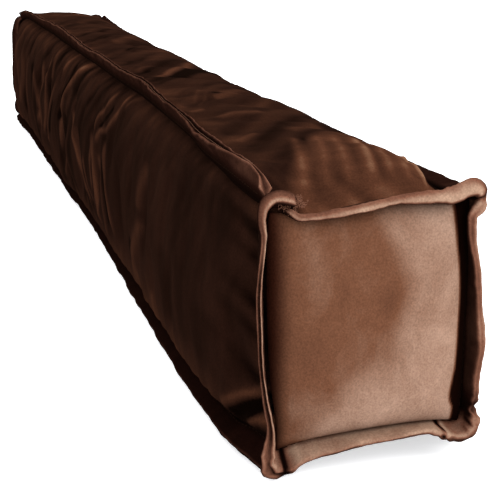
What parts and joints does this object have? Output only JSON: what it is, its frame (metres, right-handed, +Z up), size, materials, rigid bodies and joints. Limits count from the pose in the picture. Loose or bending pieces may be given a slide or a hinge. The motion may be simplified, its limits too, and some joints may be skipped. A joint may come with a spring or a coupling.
{
  "type": "draught excluder",
  "caption": "Long velvet-covered box cushion with raised sewn flanges along its edges, laid on the floor against the foot of a door to stop a draught.",
  "frame": {"origin": "on the floor under the middle of the part, at the bottom centre of its bounding box", "axes": "+X along the length towards the end whose flange has its open join, -Y the front side, +Z up"},
  "size_m": [1.0054, 0.1175, 0.1215],
  "materials": {
    "velvet_run": "dark brown cut-pile velvet, matt with a soft sheen",
    "velvet_end": "the same velvet with its nap turned to the light",
    "velvet_flange": "the same velvet folded over a sewn flange"
  },
  "bodies": {
    "root": {"bolster_body": "velvet_run", "end_panel_near": "velvet_end", "end_panel_far": "velvet_end", "flange_end_near": "velvet_flange", "flange_end_far": "velvet_flange", "flange_top_front": "velvet_flange", "flange_top_back": "velvet_flange", "flange_low_front": "velvet_flange", "flange_low_back": "velvet_flange"}
  },
  "joints": []
}
